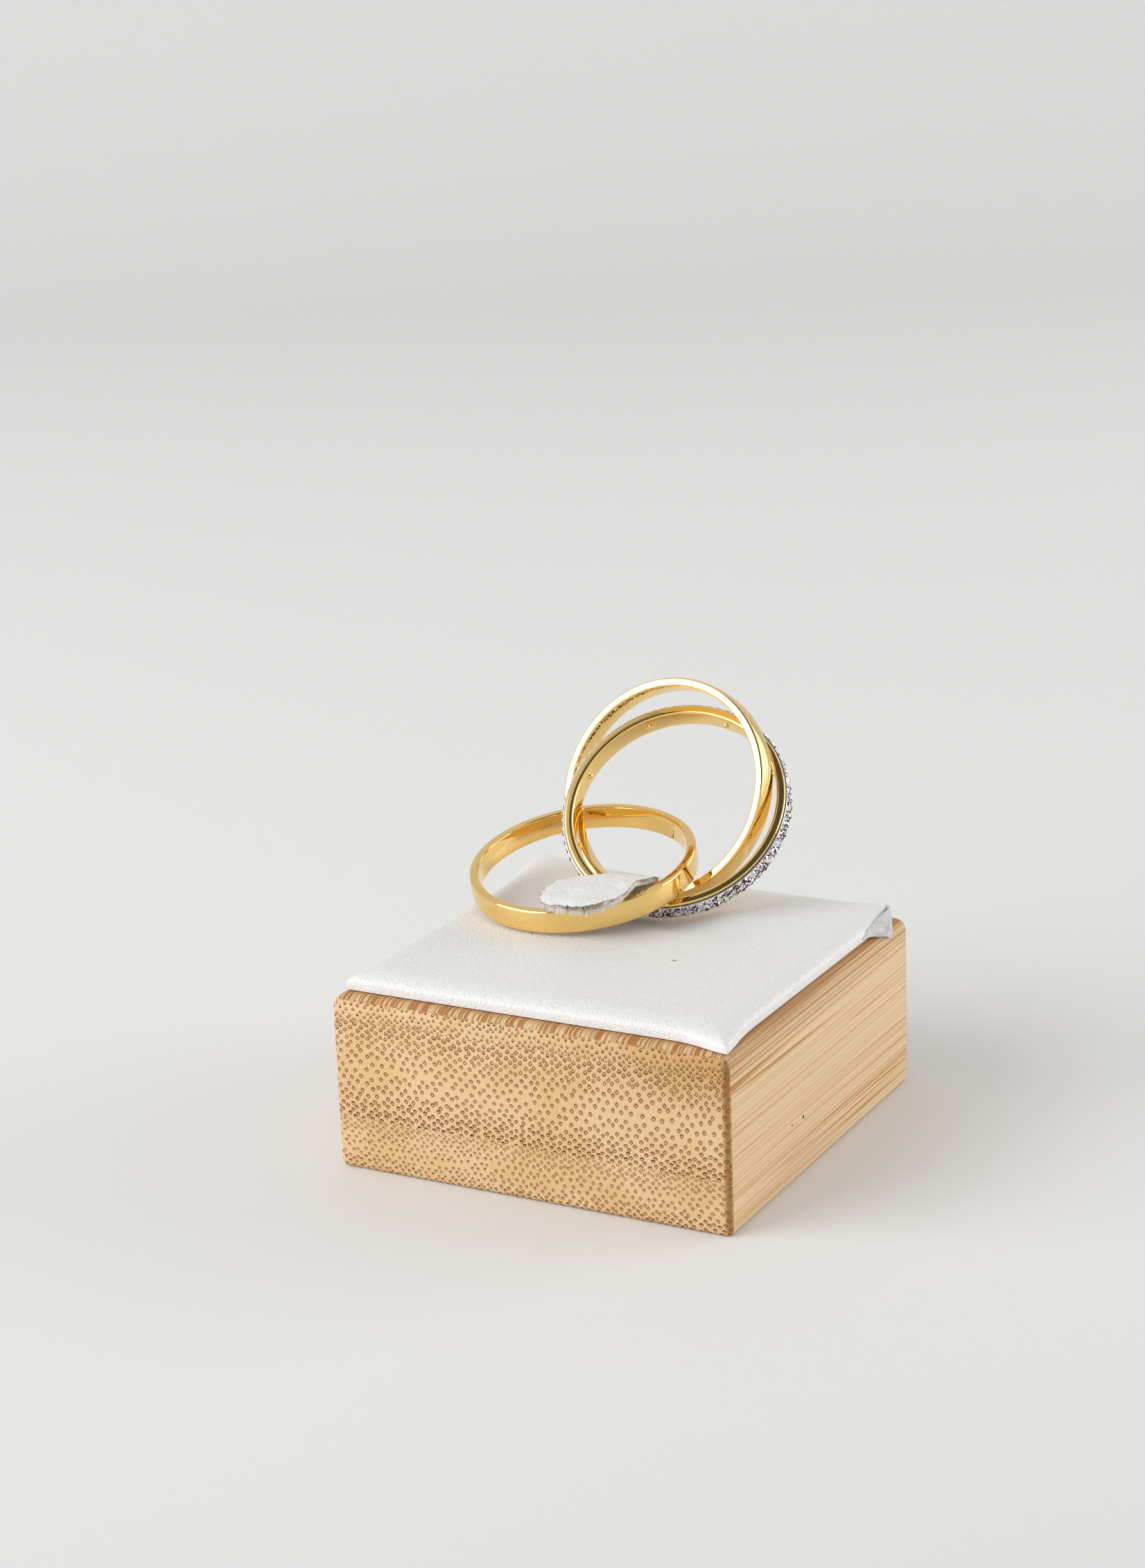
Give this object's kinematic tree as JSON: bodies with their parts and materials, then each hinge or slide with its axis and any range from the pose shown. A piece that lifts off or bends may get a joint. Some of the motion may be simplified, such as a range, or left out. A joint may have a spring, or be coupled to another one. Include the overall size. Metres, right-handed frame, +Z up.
{
  "type": "rolling ring on display block",
  "caption": "Rolling ring of linked gold bands, two plain and one set with small stones, held on a leather-topped wooden display block by a leather tongue.",
  "frame": {"origin": "middle of the display block's underside", "axes": "+Z up out of the block's top; -Y towards the block's end-grain face, over which the leather tongue's tip points; +X to the right of someone who looks at that face"},
  "size_m": [0.038, 0.0404, 0.0366],
  "materials": {
    "bamboo": "laminated bamboo, sanded and clear-waxed, end grain to the front",
    "white_leather": "white pebbled leather, soft satin",
    "yellow_gold": "mirror-polished yellow gold",
    "white_metal": "bright white plated setting with small round cut clear stones"
  },
  "bodies": {
    "root": {"display_block": "bamboo", "leather_pad": "white_leather", "leather_tab": "white_leather", "plain_band_lying": "yellow_gold"},
    "standing_band": {"plain_band_standing": "yellow_gold"},
    "stone_band_body": {"stone_band": "yellow_gold", "stone_strip": "white_metal"}
  },
  "joints": [
    {"name": "standing_band_roll", "type": "hinge", "parent": "root", "child": "standing_band", "pos_m": [-0.00285, 0.01445, 0.02681], "axis": [-0.085, -0.888, 0.452], "continuous": true},
    {"name": "stone_band_roll", "type": "hinge", "parent": "root", "child": "stone_band_body", "pos_m": [-0.00133, 0.01326, 0.02542], "axis": [0.0879, -0.7035, 0.7053], "continuous": true}
  ]
}
